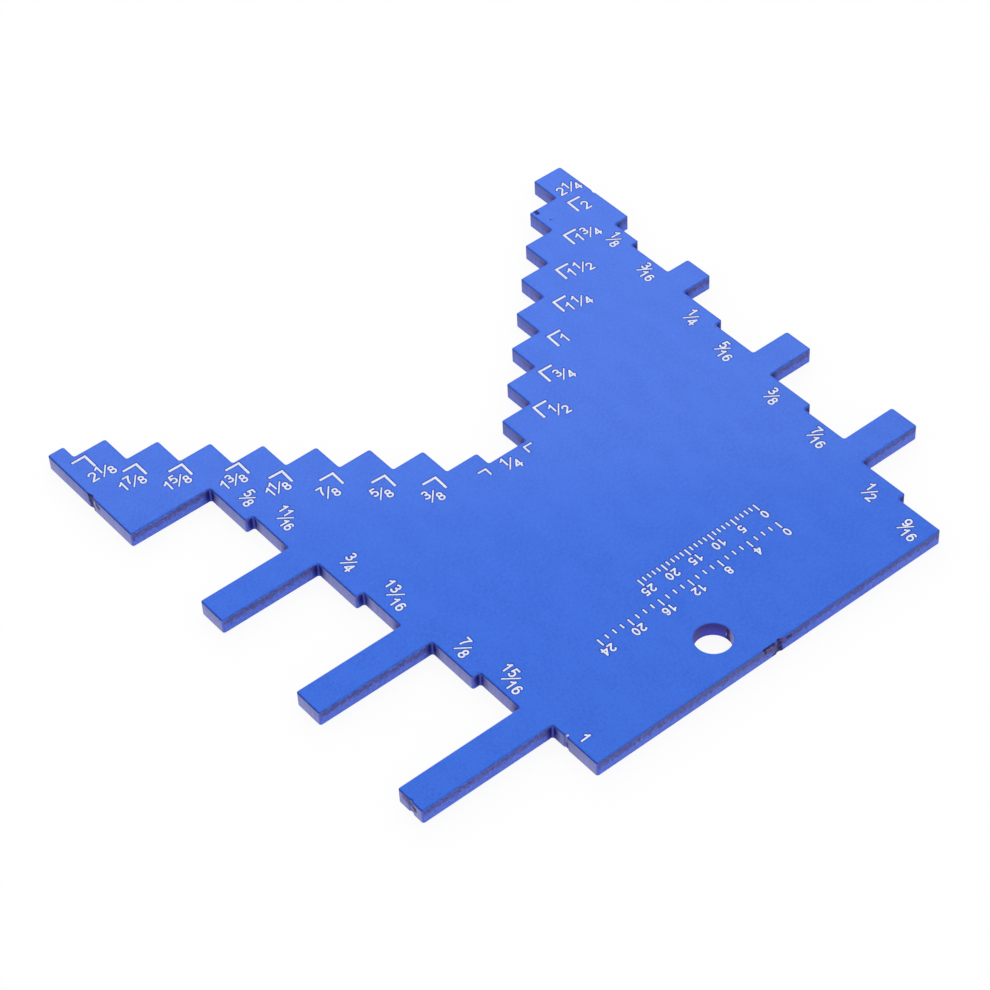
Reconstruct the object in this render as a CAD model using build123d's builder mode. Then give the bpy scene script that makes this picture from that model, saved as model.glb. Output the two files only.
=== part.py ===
"""Step gauge for cutter depth and blade height, cut from one flat plate.

The plate lies flat with its numbered face up. +X runs along the legs, from their
left ends to their right ends, +Y runs from the base edge to the wing tips, and
+Z leaves the numbered face. The origin is the middle of the underside.
"""

from build123d import *

import os

os.makedirs("parts", exist_ok=True)

# Plate
plate_thickness = 3.0
corner_radius = 0.45
face_edge_width = 0.3
face_edge_fall = 0.1
underside_edge_break = 0.2

# The gauge is laid out in fractions of an inch, which are written as decimals here.
# Stair opening between the wings, which rises from a narrow slot to the tips
tread = 0.25 * IN
rise = 0.25 * IN
left_stairs = 8
right_stairs = 7
left_tip_width = 0.125 * IN
right_tip_width = 0.25 * IN
left_first_rise = 0.125 * IN
right_first_rise = 0.25 * IN
slot_width = 0.3125 * IN

# Legs down both sides, with gaps between them that are each two lands deep
legs_per_side = 3
leg_pitch = 1 * IN
leg_width = 0.234375 * IN
deep_land = 0.375 * IN
depth_step = 0.0625 * IN
left_first_depth = 0.625 * IN
right_first_depth = 0.125 * IN
left_wing_side = 0.96875 * IN
right_wing_side = 0.75 * IN
right_leg_start = 1.375 * IN

# Hanging hole
hang_hole_diameter = 0.25 * IN
hang_hole_to_base = 0.28125 * IN
hang_hole_to_left_ends = 2.1875 * IN

# Nicks left in the walls where the cuts began, as shallow round grooves
nick_radius = 0.9
nick_depth = 0.2
base_nick_to_left_ends = 62.9
left_wing_nick_to_tip = 12.9
last_leg_nick_to_side = 2.8
base_corner_nick_to_side = 3.1
right_wing_nick_to_tip = 9.4

# Sizes that follow. Depths are counted down from the wing tips.
plate_width = (
    left_tip_width + left_stairs * tread + slot_width + right_stairs * tread + right_tip_width
)
plate_height = right_leg_start + legs_per_side * leg_pitch
slot_floor = right_first_rise + right_stairs * rise
left_edge = -plate_width / 2
right_edge = plate_width / 2
tips = plate_height / 2
base = -plate_height / 2


def stair_points(tip_width, first_rise, stairs):
    """Corners of one flight, as (distance from the wing's outer edge, depth)."""
    points = [(tip_width, 0)]
    for stair in range(stairs):
        depth = first_rise + stair * rise
        points.append((tip_width + stair * tread, depth))
        points.append((tip_width + (stair + 1) * tread, depth))
    points.append((tip_width + stairs * tread, slot_floor))
    return points


def gap_rectangle(side, start, end, depth):
    """Cuts a land into one side of the blank, between two depths below the tips."""
    edge = left_edge if side == Align.MIN else right_edge
    with Locations((edge, tips - start)):
        Rectangle(depth, end - start, align=(side, Align.MAX), mode=Mode.SUBTRACT)


def depth_gap(side, start, end, depth):
    """Cuts a shallow land and, next to the leg that follows, one a step deeper."""
    gap_rectangle(side, start, end - deep_land, depth)
    gap_rectangle(side, end - deep_land, end, depth + depth_step)


def wall_nick(x, y, outward_x, outward_y):
    """Cuts a shallow round groove into a straight wall that faces outward."""
    reach = nick_radius - nick_depth
    with Locations((x + outward_x * reach, y + outward_y * reach)):
        Circle(nick_radius, mode=Mode.SUBTRACT)


left_flight = stair_points(left_tip_width, left_first_rise, left_stairs)
right_flight = stair_points(right_tip_width, right_first_rise, right_stairs)
stair_outline = [(left_edge + along, tips - depth) for along, depth in left_flight]
stair_outline += [(right_edge - along, tips - depth) for along, depth in reversed(right_flight)]

left_leg_sides = [left_wing_side + leg * leg_pitch for leg in range(legs_per_side + 1)]
right_leg_starts = [right_leg_start + leg * leg_pitch for leg in range(legs_per_side + 1)]
base_corner_depth = left_first_depth + 2 * legs_per_side * depth_step

# Gauge plate: one blank, with its stairs, gaps, hole and nicks cut through
with BuildPart() as gauge_plate:
    with BuildSketch() as outline:
        Rectangle(plate_width, plate_height)

        with BuildLine():
            Polyline(*stair_outline, close=True)
        make_face(mode=Mode.SUBTRACT)

        for gap in range(legs_per_side):
            depth_gap(
                Align.MIN,
                left_leg_sides[gap],
                left_leg_sides[gap + 1] - leg_width,
                left_first_depth + 2 * gap * depth_step,
            )
        gap_rectangle(Align.MIN, left_leg_sides[-1], plate_height, base_corner_depth)

        gap_start = right_wing_side
        for gap, gap_end in enumerate(right_leg_starts):
            depth = right_first_depth + 2 * gap * depth_step
            depth_gap(Align.MAX, gap_start, gap_end, depth)
            gap_start = gap_end + leg_width

        fillet(outline.vertices(), corner_radius)

        wall_nick(left_edge + base_nick_to_left_ends, base, 0, -1)
        wall_nick(left_edge, tips - left_wing_nick_to_tip, -1, 0)
        wall_nick(left_edge, tips - left_leg_sides[-1] + last_leg_nick_to_side, -1, 0)
        wall_nick(
            left_edge + base_corner_depth,
            tips - left_leg_sides[-1] - base_corner_nick_to_side,
            -1,
            0,
        )
        wall_nick(right_edge, tips - right_wing_nick_to_tip, 1, 0)

    extrude(amount=plate_thickness)

    with Locations((left_edge + hang_hole_to_left_ends, base + hang_hole_to_base, plate_thickness)):
        Hole(hang_hole_diameter / 2, depth=plate_thickness)

    # The outline's upper edge is rolled over: wider on the face than it is deep
    face = gauge_plate.faces().sort_by(Axis.Z)[-1]
    chamfer(face.outer_wire().edges(), face_edge_width, face_edge_fall, reference=face)
    face = gauge_plate.faces().sort_by(Axis.Z)[-1]
    chamfer(face.inner_wires().edges(), face_edge_fall)
    chamfer(gauge_plate.faces().sort_by(Axis.Z)[0].edges(), underside_edge_break)

gauge_plate.part.label = "gauge_plate"
export_step(gauge_plate.part, "parts/gauge_plate.step")
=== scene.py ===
"""Dresses the step gauge: blue anodised plate, white engraved marks, white table and soft light.

Lengths on the plate are inches from the left leg ends (u) and from the wing tips (v), as the
gauge itself is marked, and are turned into metres in the frame as each piece is made.
"""

import math

import bmesh
import bpy
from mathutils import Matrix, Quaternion, Vector


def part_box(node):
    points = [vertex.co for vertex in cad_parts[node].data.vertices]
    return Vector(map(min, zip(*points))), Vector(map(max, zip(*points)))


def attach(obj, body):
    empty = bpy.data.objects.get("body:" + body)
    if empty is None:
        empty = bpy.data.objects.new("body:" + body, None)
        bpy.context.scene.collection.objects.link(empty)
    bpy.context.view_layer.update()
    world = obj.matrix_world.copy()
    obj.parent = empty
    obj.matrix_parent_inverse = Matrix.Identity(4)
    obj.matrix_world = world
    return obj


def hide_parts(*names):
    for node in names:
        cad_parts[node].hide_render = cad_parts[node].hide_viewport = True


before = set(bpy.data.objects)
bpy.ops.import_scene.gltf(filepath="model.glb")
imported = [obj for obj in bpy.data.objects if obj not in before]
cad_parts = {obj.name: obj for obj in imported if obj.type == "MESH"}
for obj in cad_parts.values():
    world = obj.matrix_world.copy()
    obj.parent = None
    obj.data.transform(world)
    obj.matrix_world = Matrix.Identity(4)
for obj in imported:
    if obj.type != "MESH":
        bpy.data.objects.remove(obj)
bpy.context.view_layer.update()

# Sizes
INCH = 0.0254
MM = 0.001
plate_low, plate_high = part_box("gauge_plate")
LEFT = plate_low[0]
TIPS = plate_high[1]
FACE = plate_high[2]
pocket_depth = 0.06 * MM
fill_below_face = 0.012 * MM

# Points that are closer than this are one point
merge_distance = 0.0005 * MM

# Two faces that meet are shaded as one round where their upward slopes differ by less than
# the first of these, and they meet at less than the second
same_slope = 0.03
round_corner_angle = math.radians(50)

# Engraved marks, in inches, with the advance from digit to digit as a share of their height.
# The white fill leaves a thin bare rim inside each pocket
pocket_rim = 0.0056
digit_stroke = 0.0125
slash_stroke = 0.0098
corner_stroke = 0.0175
small_corner_stroke = 0.0130
whole_digit = 0.090
small_whole_digit = 0.077
fraction_digit = 0.0775
digit_advance = 0.776


def on_plate(u, v):
    """Frame x and y of a point given in inches from the left leg ends and the wing tips."""
    return LEFT + u * INCH, TIPS - v * INCH


def turned(points, at, turn):
    """Takes local points, x along the reading direction and y up, to their place on the plate."""
    angle = math.radians(turn)
    along = (math.cos(angle), math.sin(angle))
    up = (math.sin(angle), -math.cos(angle))
    return [
        (at[0] + along[0] * x + up[0] * y, at[1] + along[1] * x + up[1] * y) for x, y in points
    ]


# Digits, as centre lines of their strokes, one unit high and standing on zero
degrees_per_point = 15


def arc(x, y, across, tall, start, end):
    """Points on part of an ellipse, between two angles in degrees."""
    count = max(2, round(abs(end - start) / degrees_per_point))
    angles = [math.radians(start + (end - start) * step / count) for step in range(count + 1)]
    return [(x + across * math.cos(a), y + tall * math.sin(a)) for a in angles]


SIX = [
    arc(0.41, 0.31, 0.28, 0.31, 0, 360),
    arc(0.42, 0.55, 0.29, 0.45, 55, 180) + [(0.13, 0.33)],
]
DIGITS = {
    "0": [arc(0.41, 0.5, 0.28, 0.5, 0, 360)],
    "1": [[(0.22, 0.73), (0.38, 0.83), (0.50, 0.98)], [(0.52, 1.0), (0.52, 0)]],
    "2": [arc(0.41, 0.72, 0.27, 0.28, 155, -30) + [(0.14, 0.03)], [(0.12, 0), (0.68, 0)]],
    "3": [arc(0.40, 0.755, 0.25, 0.245, 140, -90), arc(0.40, 0.265, 0.29, 0.265, 90, -140)],
    "4": [[(0.06, 0.30), (0.50, 0.96)], [(0.06, 0.27), (0.70, 0.27)], [(0.53, 1.0), (0.53, 0)]],
    "5": [
        [(0.64, 1.0), (0.24, 1.0)],
        [(0.24, 1.0), (0.16, 0.52)],
        arc(0.40, 0.31, 0.29, 0.31, 132, -132),
    ],
    "6": SIX,
    "7": [[(0.10, 1.0), (0.68, 1.0)], [(0.68, 0.98), (0.50, 0.70), (0.36, 0.36), (0.31, 0)]],
    "8": [arc(0.41, 0.755, 0.235, 0.245, 0, 360), arc(0.41, 0.265, 0.285, 0.265, 0, 360)],
    "9": [[(0.82 - x, 1 - y) for x, y in stroke] for stroke in SIX],
}


def digits(text, height, x, y, advance=digit_advance, stroke=digit_stroke):
    """Strokes of a number whose outer height is given, from the left end of its baseline."""
    unit = height - stroke
    strokes = []
    for digit in text:
        for line in DIGITS[digit]:
            strokes.append([(x + px * unit, y + stroke / 2 + py * unit) for px, py in line])
        x += advance * height
    return strokes


# Where a fraction's parts stand round the middle of its slash: the numerator's right end and
# baseline, the denominator's left end and baseline, the slash's half extents, how far the
# whole number's right end goes past the numerator's left end, the whole number's baseline,
# the advance within the numerator and the denominator, and a factor on all of the mark
WING = (0.003, -0.004, 0.0157, -0.061, 0.032, 0.041, 0.007, -0.040, 0.776, 0.776, 1)
FAR_WING = (0.003, 0.000, 0.0175, -0.063, 0.031, 0.041, -0.002, -0.042, 0.776, 0.776, 1)
NARROW_ONE = (0.005, 0.000, 0.0170, -0.061, 0.033, 0.038, 0.023, -0.038, 0.776, 0.776, 1)
PLAIN = (0.0028, -0.004, 0.0151, -0.068, 0.0316, 0.0416, 0, 0, 0.776, 0.776, 1)
LEG = (0.002, 0.003, 0.0140, -0.0635, 0.029, 0.042, 0, 0, 0.776, 0.776, 1)
LEG_LOW = (0.005, -0.003, 0.0153, -0.059, 0.029, 0.040, 0, 0, 0.776, 0.776, 1)
LEG_SIXTEENTHS = (0.0137, -0.003, 0.0027, -0.0725, 0.029, 0.042, 0, 0, 0.776, 0.78, 1)
LEG_ELEVEN = (0.0045, 0.0066, 0.0050, -0.0714, 0.034, 0.0434, 0, 0, 0.72, 0.68, 0.93)
LEG_THIRTEEN = (-0.005, -0.006, 0.0153, -0.0795, 0.0336, 0.0426, 0, 0, 0.80, 0.78, 1)
LEG_FIFTEEN = (0.0086, 0.003, 0.0092, -0.070, 0.0355, 0.044, 0, 0, 0.79, 0.77, 1)

# Each fraction, the middle of its slash in inches, the turn of its reading direction in
# degrees clockwise from the legs' direction, and its layout
FRACTIONS = [
    ("2 1/8", 0.2045, 0.372, 0, WING),
    ("1 7/8", 0.300, 0.581, 1.2, WING),
    ("1 5/8", 0.523, 0.7735, 2.2, WING),
    ("1 3/8", 0.802, 1.014, 2.2, WING),
    ("1 1/8", 0.969, 1.2605, -1.4, NARROW_ONE),
    ("7/8", 1.1805, 1.5105, 2.4, PLAIN),
    ("5/8", 1.429, 1.749, 3.9, PLAIN),
    ("3/8", 1.664, 1.991, 4.2, PLAIN),
    ("1/4", 2.231, 2.093, 2.8, PLAIN),
    ("1/2", 2.793, 1.917, 2.9, PLAIN),
    ("3/4", 3.0405, 1.680, 3.1, PLAIN),
    ("1 1/4", 3.608, 1.201, 4.2, FAR_WING),
    ("1 1/2", 3.846, 0.9405, 4.1, FAR_WING),
    ("1 3/4", 4.1295, 0.695, 4.2, FAR_WING),
    ("2 1/4", 4.354, 0.2235, 2.0, WING),
    ("5/8", 0.757, 1.199, 91.4, LEG_LOW),
    ("11/16", 0.834, 1.510, 90.2, LEG_ELEVEN),
    ("3/4", 0.899, 2.0935, 92.6, LEG),
    ("13/16", 0.952, 2.5085, 90.2, LEG_THIRTEEN),
    ("7/8", 0.986, 3.134, 93.5, LEG),
    ("15/16", 1.0485, 3.521, 90.0, LEG_FIFTEEN),
    ("1/8", 4.197, 0.864, 92.8, LEG),
    ("3/16", 4.146, 1.249, 90.0, LEG_SIXTEENTHS),
    ("1/4", 4.054, 1.832, 90.4, LEG),
    ("5/16", 3.998, 2.2065, 92.0, LEG_SIXTEENTHS),
    ("3/8", 3.926, 2.767, 92.4, LEG),
    ("7/16", 3.8845, 3.222, 92.1, LEG_SIXTEENTHS),
    ("1/2", 3.780, 3.833, 90.3, LEG),
    ("9/16", 3.730, 4.205, 91.2, LEG_SIXTEENTHS),
]
# Whole inches, by the left end of their baseline, their turn and their height
WHOLE_INCHES = [
    ("2", 4.266, 0.491, 1.2, whole_digit),
    ("1", 3.244, 1.454, 1.5, whole_digit),
    ("1", 1.043, 4.145, 88.0, small_whole_digit),
]
# Corner marks at the stairs, by the crossing of their two bars and their turn. The two at the
# slot have their side too, -1 for the left one
LEFT_CORNERS = [
    (0.182, 0.171, 0),
    (0.394, 0.458, 0),
    (0.618, 0.662, 1.5),
    (0.903, 0.904, 1.5),
    (1.072, 1.153, 2.6),
    (1.308, 1.391, 2.4),
    (1.548, 1.634, 2.6),
    (1.784, 1.869, 2.6),
]
RIGHT_CORNERS = [
    (4.2225, 0.345, 2.6),
    (3.968, 0.597, 2.6),
    (3.6885, 0.8405, 2.6),
    (3.456, 1.086, 2.6),
    (3.202, 1.3275, 2.6),
    (2.933, 1.5545, 2.6),
    (2.681, 1.7945, 2.6),
]
CORNER_ARMS = (0.095, 0.112)
SLOT_CORNERS = [(2.076, 2.027, 2.6, -1), (2.393, 2.037, 2.6, 1)]
SLOT_CORNER_ARMS = (0.056, 0.056)


def fraction_strokes(text, layout):
    """Digit strokes and the slash of one fraction, round the slash's middle."""
    top_end, top_base, low_start, low_base, half_x, half_y = layout[:6]
    gap, base, top_adv, low_adv, size = layout[6:]
    whole, _, fraction = text.rpartition(" ")
    top, low = fraction.split("/")
    top_start = top_end - fraction_digit * (digit_advance + top_adv * (len(top) - 1))
    strokes = digits(top, fraction_digit, top_start, top_base, top_adv)
    strokes += digits(low, fraction_digit, low_start, low_base, low_adv)
    if whole:
        whole_start = top_start + gap - digit_advance * whole_digit
        strokes += digits(whole, whole_digit, whole_start, base)
    strokes.append([(-half_x, -half_y), (half_x, half_y)])
    strokes = [[(x * size, y * size) for x, y in stroke] for stroke in strokes]
    return strokes[:-1], strokes[-1]


def corner_strokes(u, v, turn, side, arms):
    """Two bars from one crossing: one towards the wing's outer edge, one down the plate."""
    across = turned([(0, 0), (side * arms[0], 0)], (u, v), turn)
    down = turned([(0, 0), (0, -arms[1])], (u, v), turn)
    return [across, down]


digit_lines = []
slash_lines = []
corner_lines = []
small_corner_lines = []
for text, u, v, turn, layout in FRACTIONS:
    strokes, slash = fraction_strokes(text, layout)
    digit_lines += [turned(stroke, (u, v), turn) for stroke in strokes]
    slash_lines.append(turned(slash, (u, v), turn))
for text, u, v, turn, height in WHOLE_INCHES:
    digit_lines += [turned(stroke, (u, v), turn) for stroke in digits(text, height, 0, 0)]
for u, v, turn in LEFT_CORNERS:
    corner_lines += corner_strokes(u, v, turn, -1, CORNER_ARMS)
for u, v, turn in RIGHT_CORNERS:
    corner_lines += corner_strokes(u, v, turn, 1, CORNER_ARMS)
for u, v, turn, side in SLOT_CORNERS:
    small_corner_lines += corner_strokes(u, v, turn, side, SLOT_CORNER_ARMS)

# Two plain rules between the slot and the hole, read from the base edge: sixteenths of an
# inch, and millimetres. Each is what a tick counts, its right end and its tick line, the
# pitch of its ticks, the last tick's number, and how many ticks it is to the next number
rule_turn = 180
rule_number = 0.068
rule_number_stroke = 0.012
rule_tick_stroke = 0.011
rule_short_tick = 0.040
rule_long_tick = 0.062
rule_number_base = 0.076
rule_number_shift = 0.004
RULES = [
    ("sixteenths", 3.147, 3.628, 1 / 16, 24, 4),
    ("millimetres", 3.147, 3.420, MM / INCH, 25, 5),
]
rule_number_lines = []
for name, u, v, pitch, count, numbered in RULES:
    for tick in range(0, count + 1, numbered):
        text = str(tick)
        half_width = rule_number * digit_advance * len(text) / 2
        start = tick * pitch - half_width + rule_number_shift
        strokes = digits(text, rule_number, start, rule_number_base, stroke=rule_number_stroke)
        rule_number_lines += [turned(stroke, (u, v), rule_turn) for stroke in strokes]


# New objects
def placed(name, data):
    """A new object in the scene that holds a mesh, a curve, a lamp or a camera."""
    made = bpy.data.objects.new(name, data)
    bpy.context.scene.collection.objects.link(made)
    return made


def mesh_piece(name, shape, material):
    """A new object of one material from a bmesh, which is freed."""
    mesh = bpy.data.meshes.new(name)
    shape.to_mesh(mesh)
    shape.free()
    mesh.materials.append(material)
    return placed(name, mesh)


# Geometry Nodes
class Tree:
    """A Geometry Nodes tree with named inputs, which is run on one object at a time."""

    def __init__(self, name, inputs):
        self.group = bpy.data.node_groups.new(name, "GeometryNodeTree")
        interface = self.group.interface
        interface.new_socket("Geometry", in_out="INPUT", socket_type="NodeSocketGeometry")
        interface.new_socket("Geometry", in_out="OUTPUT", socket_type="NodeSocketGeometry")
        self.sockets = {}
        for label, kind in inputs:
            made = interface.new_socket(label, in_out="INPUT", socket_type=kind)
            self.sockets[label] = made.identifier
        self.inputs = self.group.nodes.new("NodeGroupInput").outputs

    def node(self, kind, settings=None, values=None):
        """Adds a node, sets it, then sets or links its sockets, and returns its outputs."""
        made = self.group.nodes.new(kind)
        for name, value in (settings or {}).items():
            setattr(made, name, value)
        for key, value in (values or {}).items():
            if isinstance(value, bpy.types.NodeSocket):
                self.group.links.new(value, made.inputs[key])
            else:
                made.inputs[key].default_value = value
        return made.outputs

    def close(self, geometry, material):
        """Ends the tree in plain geometry of one material."""
        real = self.node("GeometryNodeRealizeInstances", values={"Geometry": geometry})
        painted = self.node(
            "GeometryNodeSetMaterial", values={"Geometry": real["Geometry"], "Material": material}
        )
        out = self.group.nodes.new("NodeGroupOutput")
        self.group.links.new(painted["Geometry"], out.inputs["Geometry"])

    def run(self, source, name, values):
        """Runs the tree on an object, which a new one with the plain result replaces."""
        modifier = source.modifiers.new(self.group.name, "NODES")
        modifier.node_group = self.group
        for label, value in values.items():
            modifier[self.sockets[label]] = value
        result = plain_copy(source, name)
        bpy.data.objects.remove(source)
        return result


def plain_copy(source, name):
    """A new object that holds the evaluated mesh of another, with no modifiers."""
    graph = bpy.context.evaluated_depsgraph_get()
    mesh = bpy.data.meshes.new_from_object(source.evaluated_get(graph), depsgraph=graph)
    return placed(name, mesh)


def stroke_tree():
    """Sweeps a flat bar along each centre line, with square ends."""
    tree = Tree(
        "engraved_stroke",
        [
            ("Stroke Width", "NodeSocketFloat"),
            ("Cut Height", "NodeSocketFloat"),
            ("Material", "NodeSocketMaterial"),
        ],
    )
    level = tree.node(
        "GeometryNodeSetCurveNormal", {"mode": "Z_UP"}, {"Curve": tree.inputs["Geometry"]}
    )
    bar = tree.node(
        "GeometryNodeCurvePrimitiveQuadrilateral",
        {"mode": "RECTANGLE"},
        {"Width": tree.inputs["Stroke Width"], "Height": tree.inputs["Cut Height"]},
    )
    swept = tree.node(
        "GeometryNodeCurveToMesh",
        values={"Curve": level["Curve"], "Profile Curve": bar["Curve"], "Fill Caps": True},
    )
    tree.close(swept["Mesh"], tree.inputs["Material"])
    return tree


def tick_tree():
    """Stands a row of ticks on a line: a long one at each number, and short ones between."""
    tree = Tree(
        "rule_ticks",
        [
            ("Count", "NodeSocketInt"),
            ("Pitch", "NodeSocketFloat"),
            ("Numbered Every", "NodeSocketInt"),
            ("Stroke Width", "NodeSocketFloat"),
            ("Short Tick", "NodeSocketFloat"),
            ("Long Tick", "NodeSocketFloat"),
            ("Cut Height", "NodeSocketFloat"),
            ("Material", "NodeSocketMaterial"),
        ],
    )
    step = tree.node("ShaderNodeCombineXYZ", values={"X": tree.inputs["Pitch"]})
    row = tree.node(
        "GeometryNodeMeshLine",
        {"mode": "OFFSET"},
        {"Count": tree.inputs["Count"], "Offset": step["Vector"]},
    )
    index = tree.node("GeometryNodeInputIndex")
    left_over = tree.node(
        "ShaderNodeMath",
        {"operation": "MODULO"},
        {0: index["Index"], 1: tree.inputs["Numbered Every"]},
    )
    numbered = tree.node(
        "ShaderNodeMath", {"operation": "LESS_THAN"}, {0: left_over["Value"], 1: 0.5}
    )
    length = tree.node(
        "ShaderNodeMapRange",
        values={
            "Value": numbered["Value"],
            "To Min": tree.inputs["Short Tick"],
            "To Max": tree.inputs["Long Tick"],
        },
    )
    size = tree.node(
        "ShaderNodeCombineXYZ",
        values={
            "X": tree.inputs["Stroke Width"],
            "Y": length["Result"],
            "Z": tree.inputs["Cut Height"],
        },
    )
    block = tree.node("GeometryNodeMeshCube", values={"Size": (1, 1, 1)})
    raised = tree.node(
        "GeometryNodeTransform",
        values={"Geometry": block["Mesh"], "Translation": (0, 0.5, 0)},
    )
    ticks = tree.node(
        "GeometryNodeInstanceOnPoints",
        values={
            "Points": row["Mesh"],
            "Instance": raised["Geometry"],
            "Scale": size["Vector"],
        },
    )
    tree.close(ticks["Instances"], tree.inputs["Material"])
    return tree


# Shader nodes
class Wire:
    """A shader socket that sums can be written on."""

    def __init__(self, nodes, socket):
        self.nodes = nodes
        self.socket = socket

    def __add__(self, other):
        return self.nodes.sum("ADD", self, other)

    __radd__ = __add__

    def __sub__(self, other):
        return self.nodes.sum("SUBTRACT", self, other)

    def __rsub__(self, other):
        return self.nodes.sum("SUBTRACT", other, self)

    def __mul__(self, other):
        return self.nodes.sum("MULTIPLY", self, other)

    def __truediv__(self, other):
        return self.nodes.sum("DIVIDE", self, other)

    def __abs__(self):
        return self.nodes.sum("ABSOLUTE", self, 0.0)

    def between(self, low, high):
        """Rises smoothly from 0 at low to 1 at high."""
        values = {"Value": self, "From Min": low, "From Max": high}
        settings = {"interpolation_type": "SMOOTHSTEP"}
        return self.nodes.node("ShaderNodeMapRange", settings, values)["Result"]


class Nodes:
    """The node tree of a material or of the world, built one node at a time."""

    def __init__(self, owner):
        owner.use_nodes = True
        self.owner = owner
        self.tree = owner.node_tree
        self.tree.nodes.clear()

    def node(self, kind, settings=None, values=None):
        """Adds a node, sets it, then sets or links its sockets, and returns its outputs."""
        made = self.tree.nodes.new(kind)
        for name, value in (settings or {}).items():
            setattr(made, name, value)
        for key, value in (values or {}).items():
            if isinstance(value, Wire):
                self.tree.links.new(value.socket, made.inputs[key])
            else:
                made.inputs[key].default_value = value
        return {socket.name: Wire(self, socket) for socket in made.outputs if socket.enabled}

    def sum(self, operation, first, second):
        """One step of maths on numbers."""
        settings = {"operation": operation}
        return self.node("ShaderNodeMath", settings, {0: first, 1: second})["Value"]

    def vector(self, operation, first, second=(0, 0, 0)):
        """One step of maths on vectors, with all that it gives."""
        settings = {"operation": operation}
        return self.node("ShaderNodeVectorMath", settings, {0: first, 1: second})

    def parts(self, vector):
        """The X, Y and Z of a vector."""
        split = self.node("ShaderNodeSeparateXYZ", values={"Vector": vector})
        return split["X"], split["Y"], split["Z"]

    def mix(self, factor, first, second):
        """Blends two colours."""
        values = {0: factor, 6: first, 7: second}
        return self.node("ShaderNodeMix", {"data_type": "RGBA"}, values)["Result"]

    def noise(self, point, per_mm, detail=3.0):
        """Noise with its own number of grains to the millimetre along each axis."""
        scaled = self.vector("MULTIPLY", point, [count / MM for count in per_mm])["Vector"]
        values = {"Vector": scaled, "Scale": 1.0, "Detail": detail}
        return self.node("ShaderNodeTexNoise", values=values)["Fac"]

    def close(self, surface, kind="ShaderNodeOutputMaterial"):
        """Ends the tree in a surface, and returns the material or world that it is for."""
        self.node(kind, values={"Surface": surface})
        return self.owner


def srgb(red, green, blue):
    """A shader colour from screen values of 0 to 255."""

    def linear(value):
        value /= 255
        return value / 12.92 if value <= 0.04045 else ((value + 0.055) / 1.055) ** 2.4

    return (linear(red), linear(green), linear(blue), 1)


# Colours of the finish and of the shade and light painted on it. A pair is what a fine grain,
# a height on the wall, or a place along the plate runs between
FACE_BLUES = srgb(37, 90, 205), srgb(52, 107, 213)
FACE_CLOUD = srgb(55, 111, 221)
# Painted shade and highlight on the rolled edge, chosen by which way it faces
LEFT_EDGE_SHADES = srgb(38, 56, 140), srgb(60, 84, 180)
NEAR_EDGE_SHADES = srgb(66, 106, 214), srgb(72, 84, 154)
BASE_EDGE_SHADE = srgb(78, 90, 152)
FAR_EDGE_HIGHLIGHT = srgb(80, 114, 212)
# Wall colours below are picked by which way a wall faces, paler lavender across the legs and
# bluer along them: painted light
END_WALL_TOP = srgb(122, 124, 180), srgb(134, 137, 194)
END_WALL_FOOT = srgb(130, 135, 193), srgb(141, 147, 205)
STAIR_WALL_TOP = srgb(88, 100, 170), srgb(100, 112, 186)
STAIR_WALL_FOOT = srgb(98, 112, 192), srgb(110, 125, 208)
# Painted shade on the right stairs' walls towards their inner corners
STAIR_CORNER_SHADE = srgb(104, 90, 146)
# Painted shade just under the face edge
WALL_UNDER_EDGE_SHADE = srgb(76, 86, 164)
SIDE_WALL = srgb(82, 106, 206), srgb(96, 122, 226)
SIDE_WALL_DARK_BAND = srgb(70, 76, 142), srgb(94, 97, 166)
# Painted shade in inner corners, a painted highlight down their middle, and painted light on
# outer corners
INNER_CORNER_SHADE = srgb(20, 26, 122)
CORNER_HIGHLIGHT = srgb(96, 104, 176)
OUTER_CORNER_LIGHT = srgb(86, 100, 204)
HOLE_WALL = srgb(72, 64, 142), srgb(86, 88, 204)
# Painted shade on one side of the hole's wall
HOLE_SHADE_SIDE = srgb(98, 86, 150)
HOLE_LIT_SIDE = srgb(150, 148, 202)
# Painted shade in the pockets' bare rims
POCKET_SHADE = srgb(36, 76, 184)
SMEAR_BROWNS = srgb(60, 48, 98), srgb(100, 90, 142)
BURN = srgb(34, 24, 74)
FACE_CHIP = srgb(34, 44, 104)
BRIGHT_CHIP = srgb(196, 199, 232)
FILL_WHITES = srgb(212, 216, 238), srgb(234, 238, 252)

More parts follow.
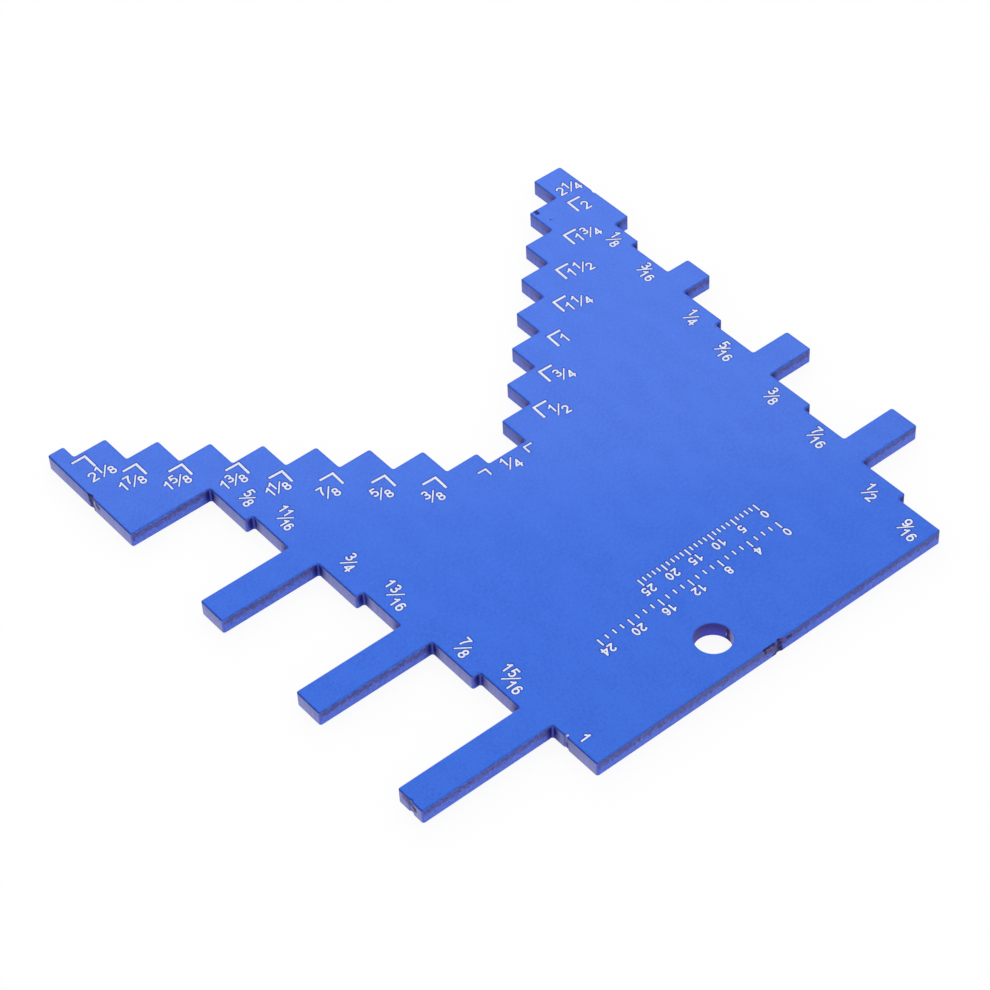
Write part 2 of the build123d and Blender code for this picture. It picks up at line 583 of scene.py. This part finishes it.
# Marks that making left on the plate, as strokes between two points with a radius in
# millimetres. A point is u and v in inches, and millimetres below the face. The walls that
# most of them are on come first, in inches
LEFT_WALL = 0.003
INCH_LAND = 1.003
BASE_WALL = 4.372
RIGHT_WALL = 4.4345
CUTTER_BURNS = [
    ((LEFT_WALL, 0.492, 0.0), (LEFT_WALL, 0.522, 2.9), 0.64),
    ((LEFT_WALL, 0.574, 0.6), (LEFT_WALL, 0.590, 1.0), 0.42),
    ((LEFT_WALL, 3.886, 1.0), (LEFT_WALL, 3.898, 1.3), 0.46),
    ((INCH_LAND, 4.091, 1.7), (INCH_LAND, 4.095, 2.8), 0.24),
    ((2.352, BASE_WALL, 0.0), (2.366, BASE_WALL, 1.0), 0.26),
    ((2.366, BASE_WALL, 0.0), (2.420, BASE_WALL, 0.05), 0.20),
    ((2.428, BASE_WALL, 0.0), (2.432, BASE_WALL, 0.30), 0.34),
    ((2.476, BASE_WALL, 0.1), (2.476, BASE_WALL, 1.0), 0.40),
    ((2.476, BASE_WALL, 1.0), (2.490, BASE_WALL, 2.7), 0.58),
    ((2.430, BASE_WALL, 2.6), (2.460, BASE_WALL, 2.1), 0.30),
    ((2.538, BASE_WALL, 0.5), (2.576, BASE_WALL, 0.6), 0.24),
    ((2.382, BASE_WALL, 1.9), (2.382, BASE_WALL, 2.0), 0.16),
    ((2.405, BASE_WALL, 0.9), (2.412, BASE_WALL, 1.1), 0.16),
    ((RIGHT_WALL, 0.370, 0.2), (RIGHT_WALL, 0.372, 2.8), 0.35),
    ((2.312, 4.093, 0.6), (2.312, 4.090, 2.9), 0.36),
    ((2.310, 4.098, 2.2), (2.310, 4.098, 2.9), 0.50),
]
BROWN_SMEARS = [
    ((2.372, BASE_WALL, 0.5), (2.440, BASE_WALL, 1.4), 0.70),
    ((2.490, BASE_WALL, 0.0), (2.505, BASE_WALL, 0.9), 0.46),
    ((LEFT_WALL, 0.535, 0.3), (LEFT_WALL, 0.590, 1.1), 0.50),
    ((LEFT_WALL, 3.800, 0.6), (LEFT_WALL, 3.888, 1.2), 0.62),
]
FACE_CHIPS = [
    ((3.986, 0.264, 0.0), (3.982, 0.290, 0.0), 0.42),
    ((4.006, 0.404, 0.0), (4.006, 0.404, 0.0), 0.20),
    ((4.021, 0.421, 0.0), (4.021, 0.421, 0.0), 0.13),
]
BRIGHT_CHIPS = [
    ((LEFT_WALL, 0.543, 0.8), (LEFT_WALL, 0.546, 1.0), 0.15),
    ((1.012, 4.087, 0.0), (1.016, 4.090, 0.0), 0.19),
    ((2.312, 4.078, 1.5), (2.312, 4.078, 2.0), 0.10),
]
# Hanging hole: its middle and its radius, in inches
HOLE = (2.1875, 4.09375, 0.125)

# Where the walls' colour changes: from left to right across the plate, and by the base edge,
# as distances from the middle. How far an inner corner's painted shade reaches, and the shares
# of open sky from its darkest to its end
WALL_COLOUR_CHANGE = (-20 * MM, 0)
BASE_STRIP = (54 * MM, 55 * MM)
corner_reach = 2.4 * MM
CORNER_SKY = (0.64, 0.94)


class Surface:
    """Where a shaded point lies on the plate, and which way its surface faces there."""

    def __init__(self, nodes):
        self.nodes = nodes
        self.point = nodes.node("ShaderNodeTexCoord")["Object"]
        x, y, z = nodes.parts(self.point)
        self.depth = (FACE - z) / MM
        self.from_tips = (TIPS - y) / INCH
        self.on_right = x.between(*WALL_COLOUR_CHANGE)
        self.on_base = (0 - y).between(*BASE_STRIP)

        normal = nodes.node("ShaderNodeNewGeometry")["True Normal"]
        x_way, y_way, z_way = nodes.parts(normal)
        level = nodes.sum("SQRT", x_way * x_way + y_way * y_way + 0.0001, 0.0)
        x_way = x_way / level
        y_way = y_way / level
        self.to_left = (0 - x_way).between(0.45, 0.85)
        self.to_far = (x_way * 0.75 + y_way).between(0.45, 0.75)
        self.across = (x_way * x_way).between(0.3, 0.7)
        turning = x_way * x_way * y_way * y_way
        self.rounded = turning.between(0.04, 0.20)
        self.halfway = turning.between(0.225, 0.25)
        self.round_left = x_way * 0.8 - y_way * 0.6
        self.flat = abs(z_way).between(0.97, 0.99)
        self.rolled = z_way.between(0.80, 0.90) * (1 - self.flat)

        # Pocket floors and walls lie just below the face
        sunken = self.depth.between(0.01, 0.03) * (1 - self.depth.between(0.08, 0.10))

        hole_x, hole_y = on_plate(HOLE[0], HOLE[1])
        beside = nodes.vector("SUBTRACT", self.point, (hole_x, hole_y, 0))["Vector"]
        beside = nodes.vector("MULTIPLY", beside, (1, 1, 0))["Vector"]
        distance = nodes.vector("LENGTH", beside)["Value"]
        self.in_hole = 1 - (distance / (HOLE[2] * INCH)).between(1.04, 1.05)
        self.hole_rim = self.in_hole * z_way.between(0.4, 0.6)
        self.in_pocket = sunken * (1 - self.rolled) * (1 - self.in_hole)

        # Open sky round each point, which sets the painted shade in inner corners
        values = {"Distance": corner_reach}
        settings = {"samples": 8, "only_local": True}
        open_sky = nodes.node("ShaderNodeAmbientOcclusion", settings, values)["AO"]
        self.hidden = 1 - open_sky.between(*CORNER_SKY)

    def marked(self, strokes, ragged):
        """One inside any stroke's radius, with a ragged edge, and nought outside them all."""
        nodes = self.nodes
        inside = 0
        for start, end, radius in strokes:
            first = Vector((*on_plate(start[0], start[1]), FACE - start[2] * MM))
            last = Vector((*on_plate(end[0], end[1]), FACE - end[2] * MM))
            run = last - first
            reach = max(run.length_squared, (0.01 * MM) ** 2)
            away = nodes.vector("SUBTRACT", self.point, first)["Vector"]
            along = nodes.vector("DOT_PRODUCT", away, run / reach)["Value"]
            share = nodes.node("ShaderNodeClamp", values={"Value": along})["Result"]
            values = {0: run, "Scale": share}
            nearest = nodes.node("ShaderNodeVectorMath", {"operation": "SCALE"}, values)["Vector"]
            gap = nodes.vector("SUBTRACT", away, nearest)["Vector"]
            distance = nodes.vector("LENGTH", gap)["Value"] / (radius * MM) + ragged
            inside = nodes.sum("MAXIMUM", 1 - distance.between(0.75, 1.15), inside)
        return inside


def face_colour(nodes, here):
    """The blue of the face, the painted shade and highlight on its rolled edge by which way the
    edge faces, and the face's soft grain.
    """
    grain = nodes.noise(here.point, (3.0, 1.5, 3.0))
    cloud = nodes.noise(here.point, (0.28, 0.14, 0.28), 2.0)
    face = nodes.mix(grain.between(0.2, 0.8), *FACE_BLUES)
    face = nodes.mix(cloud.between(0.3, 0.7) * 0.3, face, FACE_CLOUD)

    broken = nodes.noise(here.point, (1.3, 1.3, 0.3)).between(0.30, 0.55)
    teeth = nodes.noise(here.point, (1.9, 1.9, 0.5), 2.0).between(0.44, 0.56)
    outer = here.depth.between(0.015, 0.07)
    # Painted shade on the rolled edge, darkest facing left and mottled facing near, with a
    # painted highlight where it faces far
    left_edge_shade = nodes.mix(here.on_right * 0.6, *LEFT_EDGE_SHADES)
    near_edge_shade = nodes.mix(teeth, *NEAR_EDGE_SHADES)
    near_edge_shade = nodes.mix(here.on_base * 0.7, near_edge_shade, BASE_EDGE_SHADE)
    edge = nodes.mix(here.to_left * (0.55 + broken * 0.45), near_edge_shade, left_edge_shade)
    edge = nodes.mix(here.to_far, edge, FAR_EDGE_HIGHLIGHT)
    line = nodes.mix(outer, face, edge)
    return nodes.mix(here.rolled, face, line), grain


def end_wall_colour(nodes, here, fine):
    """Milled walls across the legs, painted a paler lavender than the side walls by which way
    they face, with the cutter's upright lines.
    """
    upright = nodes.noise(here.point, (4.5, 4.5, 0.3))
    low = (here.depth + (fine - 0.5) * 1.2).between(0.3, 2.2)
    upper = nodes.mix(upright.between(0.3, 0.7), *END_WALL_TOP)
    lower = nodes.mix(upright.between(0.3, 0.7), *END_WALL_FOOT)
    wall = nodes.mix(low, upper, lower)

    upper = nodes.mix(upright.between(0.3, 0.7), *STAIR_WALL_TOP)
    lower = nodes.mix(upright.between(0.3, 0.7), *STAIR_WALL_FOOT)
    stair_wall = nodes.mix(low, upper, lower)
    # Painted shade, brownish, high on the right stairs' left-facing walls, growing along each
    # stair towards its inner corner
    along_stair = nodes.sum("FRACT", here.from_tips * 4, 0.0)
    stair_shade = along_stair.between(0.30, 0.80) * (1 - along_stair.between(0.88, 1.0))
    stair_shade = stair_shade * here.to_left * here.depth.between(0.1, 0.5)
    stair_shade = stair_shade * (1 - (here.depth + (fine - 0.5) * 0.8).between(0.9, 2.0))
    stair_wall = nodes.mix(stair_shade * 0.7, stair_wall, STAIR_CORNER_SHADE)
    wall = nodes.mix(here.on_right, wall, stair_wall)

    # Painted shade on the end walls just under the face edge
    under_edge_shade = 1 - (here.depth + (fine - 0.5) * 0.2).between(0.08, 0.28)
    return nodes.mix(under_edge_shade * 0.4, wall, WALL_UNDER_EDGE_SHADE)


def side_wall_colour(nodes, here, fine):
    """Milled walls along the legs, painted bluer than the end walls by which way they face: face
    blue at the top, a dull darker band, then bluer again.
    """
    band_wobble = nodes.noise(here.point, (1.6, 1.6, 0.8), 4.0)
    drift = nodes.noise(here.point, (0.07, 0.05, 0.05), 1.0)
    # A dull darker band near the top of the wall, with a wobbling edge
    band = here.depth + (band_wobble - 0.5) * 2.0 + (drift - 0.5) * 1.6
    dark_band = (band + here.on_base * 0.5).between(-0.35, 0.35) * (1 - band.between(0.7, 1.9))
    wall = nodes.mix(fine.between(0.3, 0.7), *SIDE_WALL)
    dark_band_colour = nodes.mix(fine.between(0.35, 0.65), *SIDE_WALL_DARK_BAND)
    return nodes.mix(dark_band, wall, dark_band_colour)


def anodised_finish():
    """Satin blue over a soft drawn grain, with plainer milled walls."""
    nodes = Nodes(bpy.data.materials.new("anodised_blue"))
    here = Surface(nodes)
    fine = nodes.noise(here.point, (2.4, 2.4, 2.4))
    face, grain = face_colour(nodes, here)

    # Painted light: each wall's colour is picked by which way it faces
    walls = nodes.mix(
        here.across, side_wall_colour(nodes, here, fine), end_wall_colour(nodes, here, fine)
    )
    # Painted shade darkens inner corners, most of all on the end walls, but less so on the right
    # stairs, with one painted highlight line halfway round each, where the cuts met. Outer
    # corners get a bluer painted light
    corner_shade = here.hidden * (1.7 + here.across * 2.9) * (1 - here.on_right * here.to_left * 0.72)
    walls = nodes.mix(corner_shade * 0.97, walls, INNER_CORNER_SHADE)
    walls = nodes.mix(here.halfway * corner_shade * 0.3, walls, CORNER_HIGHLIGHT)
    walls = nodes.mix(here.rounded * (1 - here.hidden) * 0.8, walls, OUTER_CORNER_LIGHT)

    hole_low = (here.depth + (fine - 0.5)).between(0.4, 2.4)
    hole_wall = nodes.mix(hole_low, *HOLE_WALL)
    # Painted shade on the side of the hole's wall across from its lit side
    hole_wall = nodes.mix(here.round_left.between(0.3, 0.95) * 0.5, hole_wall, HOLE_SHADE_SIDE)
    hole_wall = nodes.mix((0 - here.round_left).between(0.75, 1.0), hole_wall, HOLE_LIT_SIDE)
    hole_wall = nodes.mix(here.hole_rim * 0.8, hole_wall, face)
    walls = nodes.mix(here.in_hole, walls, hole_wall)

    colour = nodes.mix(nodes.sum("MAXIMUM", here.flat, here.rolled), walls, face)
    # Painted shade in each pocket's bare rim round the white fill
    colour = nodes.mix(here.in_pocket, colour, POCKET_SHADE)

    # Burns, smears and chips
    ragged = (fine - 0.5) * 0.9
    speckle = nodes.noise(here.point, (3.4, 3.4, 3.4)).between(0.38, 0.60)
    smeared = here.marked(BROWN_SMEARS, ragged) * (1 - here.flat)
    brown = nodes.mix(speckle, *SMEAR_BROWNS)
    colour = nodes.mix(smeared * 0.75, colour, brown)
    burnt = here.marked(CUTTER_BURNS, ragged) * (1 - here.flat)
    colour = nodes.mix(burnt * (1 - speckle * 0.35), colour, BURN)
    chipped = here.marked(FACE_CHIPS, ragged * 0.5)
    colour = nodes.mix(chipped * 0.92, colour, FACE_CHIP)
    bright = here.marked(BRIGHT_CHIPS, ragged * 0.5) * (1 - here.in_hole * 0.5)
    colour = nodes.mix(bright, colour, BRIGHT_CHIP)

    bump = nodes.node(
        "ShaderNodeBump", values={"Height": grain, "Strength": 0.06, "Distance": 0.01 * MM}
    )
    shader = nodes.node(
        "ShaderNodeBsdfPrincipled",
        values={
            "Base Color": colour,
            "Metallic": 0.4,
            "Roughness": 0.5 + (grain - 0.5) * 0.10,
            "Specular IOR Level": 0.05,
            "Normal": bump["Normal"],
            "Coat Weight": here.flat * (1 - here.in_pocket) * (1 - chipped) * 0.4,
            "Coat Roughness": 0.12,
        },
    )["BSDF"]
    return nodes.close(shader)


def white_fill_finish():
    """Matt white fill of the engraved marks, a little uneven."""
    nodes = Nodes(bpy.data.materials.new("engraved_white"))
    point = nodes.node("ShaderNodeTexCoord")["Object"]
    mottle = nodes.noise(point, (2.6, 2.6, 2.6), 2.0)
    colour = nodes.mix(mottle.between(0.25, 0.75), *FILL_WHITES)
    shader = nodes.node(
        "ShaderNodeBsdfPrincipled",
        values={"Base Color": colour, "Roughness": 0.55, "Specular IOR Level": 0.3},
    )["BSDF"]
    return nodes.close(shader)


# Table and surroundings: the table's colour, the share of plain white in what is seen of it,
# and the strength of the light from all round
table_white = (0.97, 0.97, 0.97, 1)
table_glow = 0.9
world_light = 0.95


def seen_white(nodes):
    """One where a ray comes from the camera or a mirror, nought where it only lights."""
    path = nodes.node("ShaderNodeLightPath")
    return path["Is Camera Ray"] + path["Is Glossy Ray"] + path["Is Transmission Ray"]


def table_finish():
    """White table that goes on looking white, and keeps a faint shadow of the gauge."""
    nodes = Nodes(bpy.data.materials.new("white_table"))
    plain = nodes.node("ShaderNodeBsdfDiffuse", values={"Color": table_white})["BSDF"]
    bright = nodes.node("ShaderNodeEmission", values={"Strength": 1.0})["Emission"]
    share = seen_white(nodes) * table_glow
    shader = nodes.node("ShaderNodeMixShader", values={0: share, 1: plain, 2: bright})["Shader"]
    return nodes.close(shader)


def studio_world():
    """Even white light all round, a little weaker than the white that the camera sees."""
    nodes = Nodes(bpy.data.worlds.new("studio"))
    strength = world_light + seen_white(nodes) * (1 - world_light)
    background = nodes.node(
        "ShaderNodeBackground", values={"Color": (1, 1, 1, 1), "Strength": strength}
    )
    return nodes.close(background["Background"], "ShaderNodeOutputWorld")


anodised_blue = anodised_finish()
engraved_white = white_fill_finish()
white_table = table_finish()


# Cutters for the engraved marks
def line_object(name, lines, stroke):
    """A curve object that holds each stroke, lengthened by half its width at open ends."""
    curve = bpy.data.curves.new(name, "CURVE")
    curve.dimensions = "3D"
    for line in lines:
        points = [Vector(on_plate(u, v)) for u, v in line]
        closed = (points[0] - points[-1]).length < merge_distance
        if closed:
            points.pop()
        else:
            reach = stroke * INCH / 2
            points[0] = points[0] + (points[0] - points[1]).normalized() * reach
            points[-1] = points[-1] + (points[-1] - points[-2]).normalized() * reach
        spline = curve.splines.new("POLY")
        spline.points.add(len(points) - 1)
        for point, knot in zip(points, spline.points):
            knot.co = (point.x, point.y, FACE, 1)
        spline.use_cyclic_u = closed
    return placed(name, curve)


def tick_row(tree, name, u, v, pitch, count, numbered, rim):
    """Ticks of one rule, turned to its reading direction and laid on its place."""
    start = placed(name, bpy.data.meshes.new(name))
    values = {
        "Count": count + 1,
        "Pitch": pitch * INCH,
        "Numbered Every": numbered,
        "Stroke Width": (rule_tick_stroke + 2 * rim) * INCH,
        "Short Tick": (rule_short_tick + 2 * rim) * INCH,
        "Long Tick": (rule_long_tick + 2 * rim) * INCH,
        "Cut Height": 2 * pocket_depth,
        "Material": engraved_white,
    }
    row = tree.run(start, name, values)
    x, y = on_plate(u, v - rim)
    for vertex in row.data.vertices:
        vertex.co = Vector((x - vertex.co.x, y - vertex.co.y, FACE + vertex.co.z))
    return row


def joined(name, parts):
    """One mesh object out of several, which are removed."""
    shape = bmesh.new()
    for part in parts:
        shape.from_mesh(part.data)
        bpy.data.objects.remove(part)
    bmesh.ops.recalc_face_normals(shape, faces=shape.faces)
    return mesh_piece(name, shape, engraved_white)


stroke_sweep = stroke_tree()
tick_stand = tick_tree()


def marks_cutter(name, rim):
    """All the engraved marks as one cutter, widened by a rim all round."""
    cutters = []
    for part, lines, width in (
        ("digit_cuts", digit_lines, digit_stroke),
        ("slash_cuts", slash_lines, slash_stroke),
        ("corner_cuts", corner_lines, corner_stroke),
        ("slot_corner_cuts", small_corner_lines, small_corner_stroke),
        ("rule_number_cuts", rule_number_lines, rule_number_stroke),
    ):
        wide = width + 2 * rim
        values = {
            "Stroke Width": wide * INCH,
            "Cut Height": 2 * pocket_depth,
            "Material": engraved_white,
        }
        cutters.append(stroke_sweep.run(line_object(part, lines, wide), part, values))
    for rule in RULES:
        cutters.append(tick_row(tick_stand, *rule, rim))
    return joined(name, cutters)


# Plate with its pockets, and the white fill in them
def merged_plate(name):
    """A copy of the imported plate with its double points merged, so that it is closed."""
    shape = bmesh.new()
    shape.from_mesh(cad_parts["gauge_plate"].data)
    bmesh.ops.remove_doubles(shape, verts=shape.verts, dist=merge_distance)
    return mesh_piece(name, shape, anodised_blue)


def cut_plate(name, rim, operation):
    """A copy of the plate after one exact cut with the marks, which may cross each other."""
    blank = merged_plate(name + "_blank")
    cutter = marks_cutter(name + "_cutter", rim)
    cut = blank.modifiers.new("marks", "BOOLEAN")
    cut.operation = operation
    cut.object = cutter
    cut.solver = "EXACT"
    cut.use_self = True
    made = plain_copy(blank, name)
    bpy.data.objects.remove(blank)
    bpy.data.objects.remove(cutter)
    return made


def one_material(made, material):
    """Gives every face of an object the same material."""
    made.data.materials.clear()
    made.data.materials.append(material)
    for face in made.data.polygons:
        face.material_index = 0


def soft_edges(made):
    """Shades round corners smoothly, and keeps every edge between face, break and wall crisp."""
    shape = bmesh.new()
    shape.from_mesh(made.data)
    for face in shape.faces:
        face.smooth = True
    for edge in shape.edges:
        slopes = [face.normal.z for face in edge.link_faces]
        level = max(slopes) - min(slopes) < same_slope
        edge.smooth = (
            edge.is_manifold and level and edge.calc_face_angle() < round_corner_angle
        )
    shape.to_mesh(made.data)
    shape.free()


gauge_plate = cut_plate("engraved_gauge_plate", pocket_rim, "DIFFERENCE")
one_material(gauge_plate, anodised_blue)
soft_edges(gauge_plate)

mark_fill = cut_plate("white_mark_fill", 0, "INTERSECT")
one_material(mark_fill, engraved_white)
for vertex in mark_fill.data.vertices:
    vertex.co.z = min(vertex.co.z, FACE - fill_below_face)

for piece in (gauge_plate, mark_fill):
    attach(piece, "root")
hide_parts("gauge_plate")


# Table, just clear of the gauge's underside so that the two don't share a plane
table_half = 12
table_top = -0.02 * MM


def flat_sheet(name, half, z, material):
    """A large level sheet, in a grid of squares."""
    shape = bmesh.new()
    bmesh.ops.create_grid(shape, x_segments=4, y_segments=4, size=half)
    for vertex in shape.verts:
        vertex.co.z = z
    return mesh_piece(name, shape, material)


table = flat_sheet("table", table_half, table_top, white_table)


# Light: size and distance in metres, power in watts, angles in degrees
key_size = 0.8
key_power = 2.9
key_azimuth = 33
key_elevation = 30
key_distance = 1.4


def lamp(name, size, power, azimuth, elevation, distance):
    """A soft square lamp that faces the gauge, from an azimuth that goes from +Y towards +X."""
    data = bpy.data.lights.new(name, "AREA")
    data.shape = "SQUARE"
    data.size = size
    data.energy = power
    made = placed(name, data)
    level = math.cos(elevation)
    towards = Vector(
        (level * math.sin(azimuth), level * math.cos(azimuth), math.sin(elevation))
    )
    made.location = towards * distance
    made.rotation_euler = (-towards).to_track_quat("-Z", "Y").to_euler()


bpy.context.scene.world = studio_world()
lamp(
    "soft_key",
    key_size,
    key_power,
    math.radians(key_azimuth),
    math.radians(key_elevation),
    key_distance,
)

# Camera: lens and sensor in millimetres, angles in degrees, and an azimuth that goes from
# -Y towards +X
camera_target = Vector((-6.29, -1.60, 3.0)) * MM
camera_distance = 485.6 * MM
camera_azimuth = -37.19
camera_elevation = 45.48
camera_roll = -3.30
camera_lens = 107.8
camera_sensor = 36
camera_near = 0.01
camera_far = 100

camera_data = bpy.data.cameras.new("camera")
camera_data.sensor_width = camera_sensor
camera_data.lens = camera_lens
camera_data.clip_start = camera_near
camera_data.clip_end = camera_far
camera = placed("camera", camera_data)
azimuth = math.radians(camera_azimuth)
elevation = math.radians(camera_elevation)
back = Vector(
    (
        math.sin(azimuth) * math.cos(elevation),
        -math.cos(azimuth) * math.cos(elevation),
        math.sin(elevation),
    )
)
camera.location = camera_target + back * camera_distance
camera.rotation_mode = "QUATERNION"
level = (-back).to_track_quat("-Z", "Y")
roll = Quaternion((0, 0, 1), math.radians(camera_roll))
camera.rotation_quaternion = level @ roll
bpy.context.scene.camera = camera

bpy.context.scene.view_settings.view_transform = "Standard"
